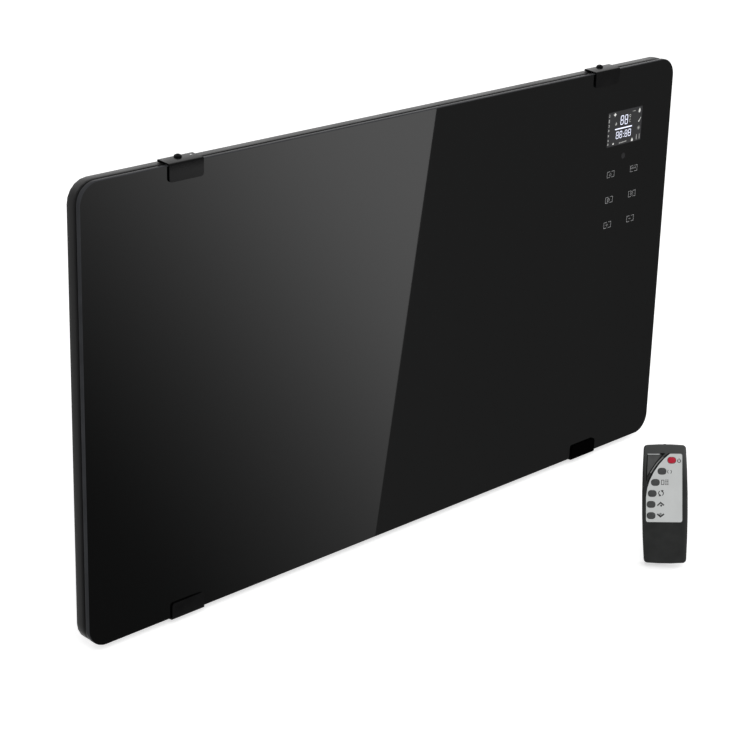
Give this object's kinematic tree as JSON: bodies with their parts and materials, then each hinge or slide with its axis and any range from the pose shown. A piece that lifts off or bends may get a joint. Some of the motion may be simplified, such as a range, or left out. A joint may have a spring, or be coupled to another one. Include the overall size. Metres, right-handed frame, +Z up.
{
  "type": "glass panel heater",
  "caption": "Wide black glass panel heater on a slim steel tray and slotted rear box, held by edge clips, with lit touch controls, a wall bracket and a keyed handset.",
  "frame": {"origin": "centre of the wall bracket's rear face, where its cross strap lies on the wall", "axes": "+Z up, +X along the panel's length to the viewer's right, +Y into the wall, so the glass faces -Y"},
  "size_m": [0.806, 0.3389, 0.4467],
  "materials": {
    "black_glass": "polished, opaque black behind",
    "painted_steel": "satin black powder coat",
    "clip_steel": "satin black",
    "zinc_steel": "zinc plated",
    "bare_aluminium": "mill finish",
    "black_plastic": "matt",
    "gloss_black_plastic": "gloss, infrared passing",
    "handset_plastic": "fine matt",
    "label_grey": "satin light grey",
    "key_red": "matt red",
    "key_grey": "matt dark grey",
    "display_grey": "dark grey with lit symbols",
    "black_rubber": "matt",
    "ceramic": "unglazed off-white ceramic",
    "circuit_board": "green solder mask",
    "grey_plastic": "matt",
    "lead_cover": "red silicone"
  },
  "bodies": {
    "bracket": {"wall_bracket": "painted_steel"},
    "heater": {"glass_front_panel": "black_glass", "glass_seal": "black_rubber", "front_tray": "painted_steel", "clip_upper_left": "clip_steel", "clip_upper_right": "clip_steel", "clip_lower_left": "clip_steel", "clip_lower_right": "clip_steel", "clip_screw_upper_left": "clip_steel", "clip_screw_upper_right": "clip_steel", "clip_screw_lower_left": "clip_steel", "clip_screw_lower_right": "clip_steel", "rear_cover": "painted_steel", "board_carrier": "black_plastic", "touch_board": "circuit_board", "display_module": "display_grey", "infrared_receiver": "gloss_black_plastic", "touch_pads": "black_rubber", "upper_heating_element": "bare_aluminium", "lower_heating_element": "bare_aluminium", "upper_heating_rod": "zinc_steel", "lower_heating_rod": "zinc_steel", "left_insulator": "ceramic", "right_insulator": "ceramic", "left_element_bracket": "zinc_steel", "right_element_bracket": "zinc_steel", "heat_reflector": "bare_aluminium", "partition_plate": "zinc_steel", "thermal_cutout": "ceramic", "room_sensor": "black_plastic", "power_board": "circuit_board", "board_frame": "black_plastic", "power_relay_1": "black_plastic", "power_relay_2": "black_plastic", "mains_transformer": "zinc_steel", "terminal_block": "ceramic", "upper_element_lead": "lead_cover", "lower_element_lead": "lead_cover", "element_jumper": "lead_cover", "mains_lead": "black_rubber", "ribbon_lead": "grey_plastic", "cable_bush": "black_rubber", "switch_frame": "black_plastic"},
    "rocker": {"switch_rocker": "black_plastic"},
    "handset": {"handset_front_shell": "handset_plastic", "handset_rear_shell": "handset_plastic", "handset_label": "label_grey", "key_mat": "black_rubber", "handset_circuit_board": "circuit_board", "infrared_lamp": "gloss_black_plastic", "left_battery": "zinc_steel", "right_battery": "zinc_steel", "battery_bridge": "zinc_steel"},
    "power_key": {"power_key": "key_red"},
    "timer_key": {"timer_key": "key_grey"},
    "level_key": {"level_key": "key_grey"},
    "mode_key": {"mode_key": "key_grey"},
    "up_key": {"up_key": "key_grey"},
    "down_key": {"down_key": "key_grey"},
    "battery_door": {"battery_door": "handset_plastic"}
  },
  "joints": [
    {"name": "heater_lift", "type": "slide", "parent": "bracket", "child": "heater", "axis": [0, 0, 1], "range_m": [0, 0.011]},
    {"name": "rocker_tilt", "type": "hinge", "parent": "heater", "child": "rocker", "pos_m": [0.3385, -0.043, -0.07], "axis": [0, 1, 0], "range_deg": [0, 22]},
    {"name": "handset_lift", "type": "slide", "parent": "bracket", "child": "handset", "axis": [0, 0, 1], "range_m": [0, 0.15]},
    {"name": "power_key_press", "type": "slide", "parent": "handset", "child": "power_key", "axis": [0.7427, 0.5356, -0.4019], "range_m": [0, 0.0008], "stiffness_N_per_m": 600},
    {"name": "timer_key_press", "type": "slide", "parent": "handset", "child": "timer_key", "axis": [0.7427, 0.5356, -0.4019], "range_m": [0, 0.0008], "stiffness_N_per_m": 600},
    {"name": "level_key_press", "type": "slide", "parent": "handset", "child": "level_key", "axis": [0.7427, 0.5356, -0.4019], "range_m": [0, 0.0008], "stiffness_N_per_m": 600},
    {"name": "mode_key_press", "type": "slide", "parent": "handset", "child": "mode_key", "axis": [0.7427, 0.5356, -0.4019], "range_m": [0, 0.0008], "stiffness_N_per_m": 600},
    {"name": "up_key_press", "type": "slide", "parent": "handset", "child": "up_key", "axis": [0.7427, 0.5356, -0.4019], "range_m": [0, 0.0008], "stiffness_N_per_m": 600},
    {"name": "down_key_press", "type": "slide", "parent": "handset", "child": "down_key", "axis": [0.7427, 0.5356, -0.4019], "range_m": [0, 0.0008], "stiffness_N_per_m": 600},
    {"name": "battery_door_open", "type": "hinge", "parent": "handset", "child": "battery_door", "pos_m": [0.14952, -0.31016, -0.21366], "axis": [-0.6097, 0.7891, -0.075], "range_deg": [0, 75]}
  ]
}
